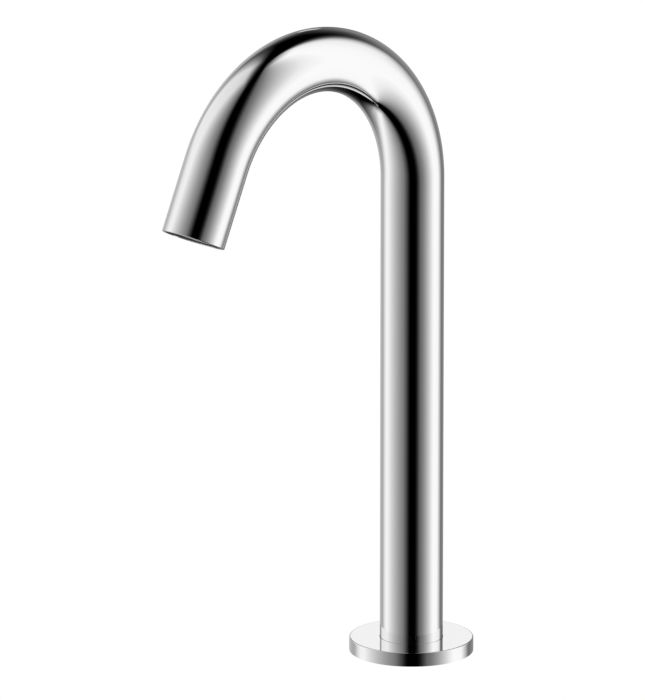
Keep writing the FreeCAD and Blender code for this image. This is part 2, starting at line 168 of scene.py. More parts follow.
def select_where(piece, kind, test):
    """Selects the verts, edges or faces of the piece in edit mode that pass the test."""
    mesh = bmesh.from_edit_mesh(piece.data)
    bpy.ops.mesh.select_mode(type={"verts": "VERT", "edges": "EDGE", "faces": "FACE"}[kind])
    for item in getattr(mesh, kind):
        item.select = bool(test(item))
    mesh.select_flush_mode()
    bmesh.update_edit_mesh(piece.data)


def ring_of(name, radius, segments, at):
    """An empty circle in edit mode, its whole edge selected."""
    deselect_all()
    bpy.ops.mesh.primitive_circle_add(vertices=segments, radius=radius * MM, fill_type="NOTHING",
                                      location=tuple(Vector(at) * MM))
    piece = added(name)
    edit(piece, "SELECT")
    return piece


def carry(move, grow=1.0, centre=None):
    """Extrudes the selected ring along a move and then grows it about its new centre."""
    bpy.ops.mesh.extrude_edges_move(TRANSFORM_OT_translate={"value": tuple(Vector(move) * MM)})
    if centre is not None and grow != 1.0:
        bpy.ops.transform.resize(value=(grow, grow, grow), center_override=tuple(Vector(centre) * MM))


def close_shell():
    """Merges what meets and turns every face outwards."""
    bpy.ops.mesh.select_all(action="SELECT")
    bpy.ops.mesh.remove_doubles(threshold=2e-6)
    bpy.ops.mesh.normals_make_consistent(inside=False)
    bpy.ops.object.mode_set(mode="OBJECT")


def turned(name, rings, segments=96, y=0.0, hollow=True):
    """A turned piece: a circle carried through rings of (radius, height), closed onto itself or capped."""
    radius, height = rings[0]
    piece = ring_of(name, radius, segments, (0.0, y, height))
    for next_radius, next_height in rings[1:] + (rings[:1] if hollow else []):
        carry((0, 0, next_height - height), next_radius / radius, (0.0, y, next_height))
        radius, height = next_radius, next_height
    if not hollow:
        bpy.ops.mesh.select_all(action="SELECT")
        bpy.ops.mesh.fill_holes(sides=0)
    close_shell()
    return piece


def rounded_ring(outer, inner, low, high, edge, steps=3):
    """The rings of a flat washer whose four edges are rounded."""
    rings = []
    corners = ((outer, low, -1, 0), (outer, high, 1, 90), (inner, high, 1, 180), (inner, low, -1, 270))
    for radius, height, way, start in corners:
        middle = radius - edge if radius == outer else radius + edge
        for step in range(steps + 1):
            angle = math.radians(start - 90 + 90 * step / steps)
            rings.append((middle + edge * math.cos(angle), height - way * edge + edge * math.sin(angle)))
    return rings


def upright_slot(name, half_height, low, high):
    """A bar with round ends across the tip, at the sensor's place."""
    piece = cylinder(name, ROUND, half_height, high - low, (0, SENSOR_OFFSET, 0.5 * (low + high)),
                     (0, 0, math.pi / ROUND))
    edit(piece)
    for side in (-1, 1):
        select_where(piece, "verts", lambda vert: vert.co.x * side > 0)
        bpy.ops.transform.translate(value=(side * SENSOR_REACH * MM, 0, 0))
    bpy.ops.object.mode_set(mode="OBJECT")
    return piece


def cross_rod(radius, inner, outer, height):
    """A cutter rod on the tip's inner side, which faces the stem."""
    return cylinder("cross_rod", ROUND, radius, outer - inner, (0, -0.5 * (inner + outer), height),
                    (QUARTER, 0, 0))


def cut_thread(piece, radius, depth, pitch, low, high, y=0.0, steps=48):
    """Cuts a right-handed screw thread: a V wound up the surface, inwards where the depth is negative."""
    deselect_all()
    start, tip = radius - THREAD_PROUD * math.copysign(1, depth), radius + depth
    middle = 0.5 * (start + tip)
    bpy.ops.mesh.primitive_plane_add(size=1.0, rotation=(QUARTER, 0, 0),
                                     location=(middle * MM, 0, low * MM))
    groove = added("groove")
    edit(groove, "SELECT")
    bpy.ops.transform.resize(value=(abs(tip - start) * MM, 1, THREAD_WIDTH * pitch * MM),
                             center_override=(middle * MM, 0, low * MM))
    select_where(groove, "verts", lambda vert: (vert.co.x - middle * MM) * depth > 0)
    bpy.ops.transform.resize(value=(1, 1, THREAD_ROOT), center_override=(tip * MM, 0, low * MM))
    bpy.ops.mesh.select_all(action="SELECT")
    bpy.ops.mesh.delete(type="ONLY_FACE")
    bpy.ops.object.mode_set(mode="OBJECT")
    modify(groove, "SCREW", axis="Z", angle=2 * math.pi, screw_offset=pitch * MM, steps=steps,
           render_steps=steps, iterations=round((high - low) / pitch), use_normal_calculate=True)
    edit(groove, "SELECT")
    bpy.ops.mesh.fill_holes(sides=4)
    bpy.ops.transform.translate(value=(0, y * MM, 0))
    close_shell()
    combine(piece, groove)


def hose_barb(name, foot, end):
    """A hose tail from its foot to its free end, with saw teeth that hold the hose."""
    teeth = 4
    step = (foot - end) / (teeth + 0.5)
    rings = [(BARB_RADIUS - 0.5, end)]
    for tooth in range(teeth):
        height = end + (tooth + 0.9) * step
        rings += [(BARB_RADIUS, height), (BARB_RADIUS - 0.3, height)]
    rings.append((BARB_RADIUS - 0.3, foot + 0.4 * math.copysign(1, step)))
    return turned(name, rings, 48, AERATOR_OFFSET, hollow=False)


def modify(piece, kind, **settings):
    """Adds a modifier with these settings and applies it."""
    make_active(piece)
    bpy.ops.object.modifier_add(type=kind)
    modifier = piece.modifiers[-1]
    for key, value in settings.items():
        setattr(modifier, key, value)
    bpy.ops.object.modifier_apply(modifier=modifier.name)


def soften(piece, width, segments=2, angle=35.0):
    """Rounds the sharp edges a little."""
    modify(piece, "BEVEL", width=width * MM, segments=segments, limit_method="ANGLE",
           angle_limit=math.radians(angle), use_clamp_overlap=True)


def smooth(piece, angle=35.0):
    make_active(piece)
    bpy.ops.object.shade_smooth_by_angle(angle=math.radians(angle))


def combine(piece, other, how="DIFFERENCE"):
    """Cuts, keeps or joins the piece with another, which is then gone."""
    modify(piece, "BOOLEAN", operation=how, object=other, solver="EXACT")
    bpy.data.objects.remove(other, do_unlink=True)


def place_at_tip(piece):
    """Moves a piece drawn with +Z out of the outlet and +Y to the user's side onto the tip."""
    onto_tip = Matrix.Translation(TIP_END * MM) @ Matrix.Rotation(BEND, 4, "X")
    piece.matrix_world = onto_tip @ piece.matrix_world
    settle(piece)


def finish_piece(piece, body, finish, slot, *nodes):
    """Gives a piece its finish and its body, and hides the nodes that it stands for."""
    piece.data.materials.clear()
    piece.data.materials.append(bpy.data.materials[finish])
    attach(piece, body)
    if nodes:
        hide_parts(*nodes)


# ---- materials

def node(tree, kind, inputs=None, **settings):
    made = tree.nodes.new(kind)
    for key, value in settings.items():
        setattr(made, key, value)
    for key, value in (inputs or {}).items():
        if isinstance(value, bpy.types.NodeSocket):
            tree.links.new(value, made.inputs[key])
        else:
            made.inputs[key].default_value = value
    return made


def maths(tree, operation, *values):
    return node(tree, "ShaderNodeMath", dict(enumerate(values)), operation=operation).outputs[0]


def mixed(tree, first, share, second):
    """This share of the first pattern and the rest of the second."""
    return maths(tree, "MULTIPLY_ADD", first, share, maths(tree, "MULTIPLY", second, 1.0 - share))


def ramp(tree, factor, stops):
    """A ramp with stops of (place, value), where a value is a grey or a colour."""
    made = tree.nodes.new("ShaderNodeValToRGB")
    elements = made.color_ramp.elements
    while len(elements) < len(stops):
        elements.new(0.5)
    for element, (place, value) in zip(elements, stops):
        element.position = place
        element.color = (*value, 1.0) if isinstance(value, tuple) else (value, value, value, 1.0)
    tree.links.new(factor, made.inputs["Fac"])
    return made.outputs["Color"]


def surface(name, colour, roughness, metallic=0.0, **plain):
    """A new material with its plain values set on the shader, and its place in the object's own frame."""
    material = bpy.data.materials.new(name)
    material.use_nodes = True
    tree = material.node_tree
    shader = tree.nodes["Principled BSDF"]
    values = {"Base Color": (*colour, 1.0), "Roughness": roughness, "Metallic": metallic, **plain}
    for key, value in values.items():
        shader.inputs[key].default_value = value
    return tree, shader, node(tree, "ShaderNodeTexCoord").outputs["Object"]


def stretched(tree, place, scale, rotation=(0.0, 0.0, 0.0)):
    return node(tree, "ShaderNodeMapping", {"Vector": place, "Scale": scale, "Rotation": rotation}).outputs[0]


def noise(tree, place, scale, detail=3.0):
    inputs = {"Vector": place, "Scale": scale, "Detail": detail}
    return node(tree, "ShaderNodeTexNoise", inputs).outputs["Fac"]


def waves(tree, place, scale, distortion, **bands):
    inputs = {"Vector": place, "Scale": scale, "Distortion": distortion, "Detail": 2.0}
    return node(tree, "ShaderNodeTexWave", inputs, **bands).outputs["Fac"]


def tint(tree, shader, factor, colour, spread):
    """Lets the colour drift between a darker and a lighter shade."""
    shades = [tuple(min(1.0, part * share) for part in colour) for share in (1.0 - spread, 1.0 + spread)]
    tree.links.new(ramp(tree, factor, [(0.3, shades[0]), (0.7, shades[1])]), shader.inputs["Base Color"])


def gloss(tree, shader, factor, low, high):
    tree.links.new(ramp(tree, factor, [(0.3, low), (0.7, high)]), shader.inputs["Roughness"])


def relief(tree, shader, height, depth):
    """Raises the surface by this depth in metres where the height is bright."""
    bump = node(tree, "ShaderNodeBump", {"Height": height, "Distance": depth, "Strength": 1.0})
    tree.links.new(bump.outputs[0], shader.inputs["Normal"])


def polished_chrome(finish):
    """Bright chrome plate: nearly a mirror, with a faint haze in patches and very light polishing lines."""
    tree, shader, place = surface("polished_chrome", finish.chrome, finish.chrome_roughness, 1.0)
    haze = noise(tree, place, 90.0)
    gloss(tree, shader, haze, finish.chrome_roughness, finish.chrome_roughness + 0.02)
    relief(tree, shader, noise(tree, stretched(tree, place, (4.0, 4.0, 1.0)), 700.0), 4e-8)


def machined_brass(finish):
    """Brass fresh from the lathe, with fine turning lines on its sides and faces and a thin tarnish."""
    tree, shader, place = surface("machined_brass", finish.brass, 0.26, 1.0)
    sides = waves(tree, place, 900.0, 0.6, wave_type="BANDS", bands_direction="Z")
    faces = waves(tree, place, 800.0, 0.6, wave_type="RINGS", rings_direction="Z")
    lines = mixed(tree, sides, 0.5, faces)
    tarnish = noise(tree, place, 160.0, 5.0)
    tint(tree, shader, tarnish, finish.brass, 0.16)
    gloss(tree, shader, mixed(tree, lines, 0.5, tarnish), 0.2, 0.38)
    relief(tree, shader, lines, 4e-6)


def satin_steel(finish):
    """Stamped stainless steel: rolled along X, with short brushed lines and dull spots from handling."""
    tree, shader, place = surface("satin_steel", finish.steel, 0.32, 1.0)
    rolled = noise(tree, stretched(tree, place, (1.0, 24.0, 24.0)), 220.0, 4.0)
    spots = noise(tree, place, 260.0, 2.0)
    tint(tree, shader, spots, finish.steel, 0.1)
    gloss(tree, shader, mixed(tree, rolled, 0.6, spots), 0.24, 0.44)
    relief(tree, shader, rolled, 3e-6)


def wire_cloth(finish):
    """Fine woven wire: two crossed sets of threads in the plane of the outlet, with painted shade in the gaps
    between them.
    """
    tree, shader, place = surface("wire_cloth", finish.steel, 0.3, 1.0)
    level = stretched(tree, place, (1.0, 1.0, 1.0), (-BEND, 0.0, 0.0))
    across, along = (waves(tree, level, 900.0, 0.0, wave_type="BANDS", bands_direction=way) for way in "XY")
    wires = maths(tree, "MAXIMUM", across, along)
    # Painted shade: between the threads the colour drops to nearly black, standing in for the shade seen
    # through the cloth's openings.
    dark = tuple(0.06 * part for part in finish.steel)
    tree.links.new(ramp(tree, wires, [(0.45, dark), (0.7, tuple(finish.steel))]), shader.inputs["Base Color"])
    gloss(tree, shader, wires, 0.7, 0.28)
    relief(tree, shader, wires, 4e-5)


def soft_rubber(finish):
    """Dull moulded rubber with a fine grain and a pale bloom in patches."""
    tree, shader, place = surface("soft_rubber", finish.rubber, 0.65)
    bloom = noise(tree, place, 120.0, 4.0)
    grain = noise(tree, place, 3500.0, 2.0)
    tint(tree, shader, bloom, finish.rubber, 0.35)
    gloss(tree, shader, mixed(tree, grain, 0.5, bloom), 0.5, 0.8)
    relief(tree, shader, grain, 1.5e-5)


def black_plastic(finish):
    """Moulded plastic with the fine pits of a spark-eroded mould and shinier places where it is handled."""
    tree, shader, place = surface("black_plastic", finish.black_plastic, 0.42)
    cells = {"Vector": place, "Scale": 3000.0}
    pits = node(tree, "ShaderNodeTexVoronoi", cells, feature="SMOOTH_F1").outputs["Distance"]
    worn = noise(tree, place, 140.0)
    tint(tree, shader, worn, finish.black_plastic, 0.2)
    gloss(tree, shader, mixed(tree, pits, 0.4, worn), 0.3, 0.52)
    relief(tree, shader, pits, 1.2e-5)


def grey_plastic(finish):
    """Slick acetal, slightly cloudy, with flow marks and a trace of scale from the water."""
    tree, shader, place = surface("grey_plastic", finish.grey_plastic, 0.34, **{"Subsurface Weight": 0.08,
                                                                               "Subsurface Scale": 0.001})
    flow = noise(tree, stretched(tree, place, (1.0, 3.0, 1.0)), 180.0, 4.0)
    scale = noise(tree, place, 1500.0, 2.0)
    tint(tree, shader, flow, finish.grey_plastic, 0.08)
    gloss(tree, shader, mixed(tree, flow, 0.6, scale), 0.24, 0.46)
    relief(tree, shader, scale, 3e-6)


def dark_window(finish):
    """Deep dark plastic that only infrared light passes, with a hard coat and faint wiping marks."""
    tree, shader, place = surface("dark_window", finish.window, 0.08, **{
        "Transmission Weight": 0.12, "Coat Weight": 0.6, "Coat Roughness": 0.04, "IOR": 1.49})
    wiped = noise(tree, stretched(tree, place, (1.0, 5.0, 5.0)), 260.0, 4.0)
    tint(tree, shader, wiped, finish.window, 0.15)
    gloss(tree, shader, wiped, 0.05, 0.14)
    relief(tree, shader, wiped, 4e-7)


def clear_resin(finish):
    """Water-clear cast resin with a bluish cast and tiny flow lines."""
    resin = (0.86, 0.9, 0.97)
    tree, shader, place = surface("clear_resin", resin, 0.05, **{"Transmission Weight": 0.9, "IOR": 1.54})
    flow = noise(tree, place, 700.0)
    tint(tree, shader, flow, resin, 0.03)
    gloss(tree, shader, flow, 0.03, 0.1)
    relief(tree, shader, flow, 1e-6)


def circuit_board(finish):
    """Green lacquer over copper tracks that stand out a little."""
    tree, shader, place = surface("circuit_board", finish.board, 0.3)
    level = stretched(tree, place, (1.0, 1.0, 1.0), (-BEND, 0.0, 0.0))
    tracks = node(tree, "ShaderNodeTexBrick", {"Vector": level, "Scale": 900.0, "Mortar Size": 0.12,
                                               "Color1": (0, 0, 0, 1), "Color2": (0, 0, 0, 1),
                                               "Mortar": (1, 1, 1, 1)}).outputs["Color"]
    over_copper = tuple(min(1.0, 2.4 * part) for part in finish.board)
    colours = ramp(tree, tracks, [(0.3, tuple(finish.board)), (0.7, over_copper)])
    tree.links.new(colours, shader.inputs["Base Color"])
    gloss(tree, shader, noise(tree, place, 500.0), 0.22, 0.36)
    relief(tree, shader, tracks, 3e-5)


def cable_jacket(finish):
    """Dark cable jacket with the faint lines of extrusion along it."""
    tree, shader, place = surface("cable_jacket", finish.cable, 0.5)
    drawn = noise(tree, stretched(tree, place, (1.0, 1.0, 0.05)), 2500.0)
    dust = noise(tree, place, 90.0, 4.0)
    tint(tree, shader, dust, finish.cable, 0.2)
    gloss(tree, shader, mixed(tree, drawn, 0.5, dust), 0.4, 0.62)
    relief(tree, shader, drawn, 1e-5)


def milky_hose(finish):
    """Milky, slightly translucent water hose with lines of extrusion and cloudy patches."""
    tree, shader, place = surface("milky_hose", finish.hose, 0.4, **{"Subsurface Weight": 0.25,
                                                                    "Subsurface Scale": 0.002,
                                                                    "Transmission Weight": 0.15})
    drawn = noise(tree, stretched(tree, place, (1.0, 1.0, 0.05)), 1800.0)
    clouds = noise(tree, place, 110.0, 4.0)
    tint(tree, shader, clouds, finish.hose, 0.06)
    gloss(tree, shader, mixed(tree, drawn, 0.5, clouds), 0.3, 0.5)
    relief(tree, shader, drawn, 6e-6)


def contact_gold(finish):
    """Thin gold plate over brass pins, a little rubbed."""
    tree, shader, place = surface("contact_gold", finish.gold, 0.2, 1.0)
    rubbed = noise(tree, stretched(tree, place, (1.0, 1.0, 0.1)), 3000.0)
    tint(tree, shader, rubbed, finish.gold, 0.12)
    gloss(tree, shader, rubbed, 0.14, 0.32)
    relief(tree, shader, rubbed, 1e-6)


FINISHES = (polished_chrome, machined_brass, satin_steel, wire_cloth, soft_rubber, black_plastic,
            grey_plastic, dark_window, clear_resin, circuit_board, cable_jacket, milky_hose, contact_gold)

# Pieces whose solids already have their full shape, with the finish of each.
KEPT_NODES = {
    "soft_rubber": ("carrier_seal", "sensor_gasket", "aerator_washer", "flange_ring"),
    "grey_plastic": ("aerator_grille", "aerator_jet"),
    "wire_cloth": ("aerator_screens",),
    "black_plastic": ("sensor_housing", "sensor_cap"),
    "clear_resin": ("ir_emitter",),
    "dark_window": ("ir_receiver",),
    "circuit_board": ("sensor_board",),
    "cable_jacket": ("sensor_lead",),
    "milky_hose": ("water_tube",),
    "satin_steel": ("upper_ferrule", "lower_ferrule"),
}


# ---- sizes and finishes

class TapSizes(bpy.types.PropertyGroup):
    """Sizes of the dressed pieces that the solids leave plain."""
    segments: IntProperty(name="Tube segments", description="Sides round the tube", default=128, min=48)
    bend_steps: IntProperty(name="Bend steps", description="Rings along the bend", default=120, min=24)
    rim_round: FloatProperty(name="Rim rounding", description="Rounding of the tube's open end",
                             default=0.35 * MM, unit="LENGTH", precision=5)
    flange_round: FloatProperty(name="Flange rounding", description="Rounding of the flange's upper edge",
                                default=0.45 * MM, unit="LENGTH", precision=5)


def colour(name, description, default):
    return FloatVectorProperty(name=name, description=description, default=default, subtype="COLOR",
                               min=0.0, max=1.0)


class TapFinishes(bpy.types.PropertyGroup):
    """Colours and gloss of the tap's materials."""
    chrome: colour("Chrome", "Colour of the chrome plate", (0.96, 0.96, 0.965))
    brass: colour("Brass", "Colour of the bare machined brass", (0.79, 0.58, 0.27))
    steel: colour("Steel", "Colour of the stainless steel pieces", (0.56, 0.56, 0.55))
    gold: colour("Gold", "Colour of the plated contact pins", (0.95, 0.68, 0.28))
    rubber: colour("Rubber", "Colour of the seals and gaskets", (0.022, 0.022, 0.024))
    black_plastic: colour("Black plastic", "Colour of the outlet insert and the socket", (0.03, 0.031, 0.034))
    grey_plastic: colour("Grey plastic", "Colour of the aerator", (0.42, 0.43, 0.44))
    window: colour("Window", "Colour of the sensor's dark window", (0.012, 0.006, 0.010))
    board: colour("Board", "Colour of the circuit board's lacquer", (0.012, 0.09, 0.04))
    cable: colour("Cable", "Colour of the sensor's cable", (0.04, 0.04, 0.043))
    hose: colour("Hose", "Colour of the water hose", (0.72, 0.74, 0.72))
    chrome_roughness: FloatProperty(name="Chrome roughness", description="Blur of the chrome's reflections",
                                    default=0.03, min=0.0, max=1.0, subtype="FACTOR")


class StudioSettings(bpy.types.PropertyGroup):
    """The camera's place and the light round the tap."""
    turn: FloatProperty(name="Camera turn", description="How far the camera stands round from the front",
                        default=math.radians(45.45), subtype="ANGLE")
    tilt: FloatProperty(name="Camera tilt", description="How far the camera looks down",
                        default=math.radians(14.65), subtype="ANGLE")
    distance: FloatProperty(name="Camera distance", description="Camera to the middle of the picture",
                            default=4.061, unit="LENGTH")
    lens: FloatProperty(name="Lens", description="Focal length in millimetres", default=469.0)
    wall_light: FloatProperty(name="Studio light", description="Strength of the studio's walls", default=1.0)
    lamp_power: FloatProperty(name="Lamp power", description="Power of the upper one of three soft lamps",
                              default=20.0, unit="POWER")


# ---- the pieces

class OBJECT_OT_tap_finishes(bpy.types.Operator):
    """Mixes the tap's materials and gives them to the pieces whose solids need no further shaping"""
    bl_idname = "object.tap_finishes"
    bl_label = "Finishes"

    def execute(self, context):
        for make in FINISHES:
            make(context.scene.tap_finishes)
        for finish, names in KEPT_NODES.items():
            for name in names:
                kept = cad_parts[name]
                kept.data.materials.clear()
                kept.data.materials.append(bpy.data.materials[finish])
        return {"FINISHED"}


class OBJECT_OT_tap_spout(bpy.types.Operator):
    """Builds the bent spout tube as one skin, out over the bend, round the rim and back inside"""
    bl_idname = "object.tap_spout"
    bl_label = "Spout tube"

    INNER_EDGE = 0.15
    HOLE_FIT, HOLE_INNER, HOLE_OUTER = 0.1, 9.0, 19.0

    def execute(self, context):
        sizes = context.scene.tap_sizes
        rim = sizes.rim_round / MM
        tube = ring_of("polished_spout", TUBE_RADIUS, sizes.segments, (0, 0, TUBE_FOOT))
        carry((0, 0, STEM_TOP.z - TUBE_FOOT))
        self.bend(sizes.bend_steps, -BEND)
        carry(TIP_OUT * (TIP_LENGTH - rim))
        self.round_rim(rim)
        carry(TIP_OUT * (self.INNER_EDGE - TIP_LENGTH))
        self.bend(sizes.bend_steps, BEND)
        carry((0, 0, TUBE_FOOT - STEM_TOP.z))
        carry((0, 0, 0), TUBE_RADIUS / TUBE_BORE, (0, 0, TUBE_FOOT))
        close_shell()
        hole = cross_rod(SCREW_RADIUS + self.HOLE_FIT, self.HOLE_INNER, self.HOLE_OUTER, SCREW_PLACE)
        place_at_tip(hole)
        combine(tube, hole)
        smooth(tube, 30.0)
        finish_piece(tube, "tap", "polished_chrome", "chrome", "spout_tube")
        return {"FINISHED"}

    def bend(self, steps, angle):
        bpy.ops.mesh.spin(steps=steps, angle=angle, center=tuple(BEND_CENTRE * MM), axis=(1, 0, 0))

    def round_rim(self, rim):
        """Rounds the open end and carries the edge in to the bore."""
        radius, steps = TUBE_RADIUS, 5
        for step in range(1, steps + 1):
            angle, before = 0.5 * math.pi * step / steps, 0.5 * math.pi * (step - 1) / steps
            wanted = TUBE_RADIUS - rim * (1.0 - math.cos(angle))
            carry(TIP_OUT * rim * (math.sin(angle) - math.sin(before)), wanted / radius,
                  TIP_END - TIP_OUT * rim * (1.0 - math.sin(angle)))
            radius = wanted
        edge = self.INNER_EDGE
        carry((0, 0, 0), (TUBE_BORE + edge) / radius, TIP_END)
        carry(TIP_OUT * -edge, TUBE_BORE / (TUBE_BORE + edge), TIP_END - edge * TIP_OUT)


class OBJECT_OT_tap_flange(bpy.types.Operator):
    """Turns the cover flange with its hollow underside and the groove of its rubber ring"""
    bl_idname = "object.tap_flange"
    bl_label = "Cover flange"

    def execute(self, context):
        edge = context.scene.tap_sizes.flange_round / MM
        low, high, outer = span("base_flange")
        bore, steps, near = TUBE_RADIUS + FLANGE_FIT, 6, 0.08
        rings = [(outer, low), (outer, high - edge - near)]
        for step in range(steps + 1):
            angle = 0.5 * math.pi * step / steps
            rings.append((outer - edge * (1 - math.cos(angle)), high - edge * (1 - math.sin(angle))))
        rings += [(outer - edge - near, high), (bore + 0.1, high), (bore + 0.03, high), (bore, high - 0.03),
                  (bore, GROOVE_HIGH), (GROOVE_RADIUS, GROOVE_HIGH), (GROOVE_RADIUS, GROOVE_LOW),
                  (bore, GROOVE_LOW), (bore, FLANGE_LIP), (FLANGE_RECESS, FLANGE_LIP), (FLANGE_RECESS, low)]
        flange = turned("polished_flange", rings, 192)
        smooth(flange, 30.0)
        finish_piece(flange, "cover_flange", "polished_chrome", "chrome", "base_flange")
        return {"FINISHED"}


class OBJECT_OT_tap_outlet(bpy.types.Operator):
    """Makes the plastic insert in the tip, with its chamber, sensor pocket and hose tail, and its screw"""
    bl_idname = "object.tap_outlet"
    bl_label = "Outlet insert"

    def execute(self, context):
        self.insert()
        self.grub_screw()
        return {"FINISHED"}

    def insert(self):
        outer, face, back = CARRIER_RADIUS, CARRIER_FACE, CARRIER_BACK
        insert = turned("outlet_insert", [
            (outer - 0.25, back), (outer, back + 0.25), (outer, SEAL_LOW), (SEAL_FLOOR, SEAL_LOW),
            (SEAL_FLOOR, SEAL_HIGH), (outer, SEAL_HIGH), (outer, face - 0.25), (outer - 0.07, face - 0.07),
            (outer - 0.25, face)], 128, hollow=False)
        combine(insert, hose_barb("hose_tail", back, back - BARB_LENGTH), "UNION")
        mouth = CHAMBER_RADIUS + 0.3
        chamber = turned("chamber", [
            (WATER_RADIUS, back - BARB_LENGTH - 1.0), (WATER_RADIUS, CHAMBER_BACK - 3.0),
            (SEAT_RADIUS, CHAMBER_BACK), (CHAMBER_RADIUS, CHAMBER_BACK), (CHAMBER_RADIUS, face - 0.3),
            (mouth, face), (mouth, face + 1.0)], 96, AERATOR_OFFSET, hollow=False)
        combine(insert, chamber)
        combine(insert, upright_slot("pocket", POCKET_HEIGHT, back - 1.0, POCKET_FRONT))
        combine(insert, upright_slot("opening", OPENING_HEIGHT, POCKET_FRONT - 0.1, 1.0))
        combine(insert, cross_rod(SCREW_RADIUS + 0.02, SCREW_INNER, CARRIER_RADIUS + 3.0, SCREW_PLACE))
        cut_thread(insert, CHAMBER_RADIUS, AERATOR_THREAD, AERATOR_PITCH, AERATOR_BACK + 0.5,
                   AERATOR_FACE, AERATOR_OFFSET)
        smooth(insert)
        place_at_tip(insert)
        finish_piece(insert, "tap", "black_plastic", "black_plastic", "outlet_carrier")

    def grub_screw(self):
        radius, inner, outer = SCREW_RADIUS, SCREW_INNER, SCREW_OUTER
        screw = turned("socket_screw", [
            (radius - 0.5, inner), (radius, inner + 0.5), (radius, outer - 0.25),
            (radius - 0.06, outer - 0.07), (radius - 0.22, outer)], 48, hollow=False)
        cut_thread(screw, radius, -SCREW_THREAD, SCREW_PITCH, inner - 0.5 * SCREW_PITCH, outer - 0.8,
                   steps=32)
        combine(screw, cylinder("hexagon_hole", 6, 1.0 / math.cos(HEXAGON_HALF), 4.0, (0, 0, outer)))
        smooth(screw)
        across = Matrix.Rotation(QUARTER, 4, "X")
        screw.matrix_world = Matrix.Translation((0, 0, SCREW_PLACE * MM)) @ across
        place_at_tip(screw)
        finish_piece(screw, "tap", "satin_steel", "steel", "tip_grub_screw")


class OBJECT_OT_tap_aerator(bpy.types.Operator):
    """Turns the aerator's threaded ring with its lip and key notches"""
    bl_idname = "object.tap_aerator"
    bl_label = "Aerator ring"

    def execute(self, context):
        outer, bore, face, back = AERATOR_RADIUS, AERATOR_BORE, AERATOR_FACE, AERATOR_BACK
        ring = turned("aerator_ring", [
            (outer - 0.2, back), (outer, back + 0.2), (outer, face - 0.15), (outer - 0.05, face - 0.04),
            (outer - 0.16, face), (AERATOR_LIP + 0.2, face), (AERATOR_LIP + 0.05, face - 0.05),
            (AERATOR_LIP, face - 0.2), (AERATOR_LIP, face - 0.6), (bore, face - 0.6), (bore, back + 0.1),
            (bore + 0.1, back)], 96, AERATOR_OFFSET)
        combine(ring, self.notches())
        soften(ring, 0.05, angle=50.0)
        cut_thread(ring, outer, -AERATOR_THREAD, AERATOR_PITCH, back - 0.5, face - 1.4, AERATOR_OFFSET)
        smooth(ring)
        place_at_tip(ring)
        finish_piece(ring, "aerator", "grey_plastic", "grey_plastic", "aerator_housing")
        return {"FINISHED"}

    def notches(self, count=6, width=1.6, depth=0.5, reach=1.65):
        """The cutter of the notches that the aerator's key grips."""
        blocks = []
        for index in range(count):
            angle = 2 * math.pi * index / count
            blocks.append(cuboid("notch", (reach, width, 2 * depth), (
                AERATOR_RADIUS * math.cos(angle), AERATOR_OFFSET + AERATOR_RADIUS * math.sin(angle),
                AERATOR_FACE), (0, 0, angle)))
        return joined("notches", blocks)


class OBJECT_OT_tap_window(bpy.types.Operator):
    """Makes the sensor's dark window, crowned in front and with a ledge behind"""
    bl_idname = "object.tap_window"
    bl_label = "Sensor window"

    def execute(self, context):
        window = upright_slot("dark_sensor_window", WINDOW_HEIGHT, PLATE_FRONT - 0.1, WINDOW_FACE)
        edit(window)
        front = (WINDOW_FACE - 0.01) * MM
        select_where(window, "edges", lambda edge: all(vert.co.z > front for vert in edge.verts))
        bpy.ops.mesh.bevel(offset=0.32 * MM, segments=4, profile=0.6)
        bpy.ops.object.mode_set(mode="OBJECT")
        combine(window, upright_slot("ledge", PLATE_HEIGHT, PLATE_BACK, PLATE_FRONT), "UNION")
        smooth(window, 40.0)
        place_at_tip(window)
        finish_piece(window, "tap", "dark_window", "dark_window", "sensor_window")
        return {"FINISHED"}


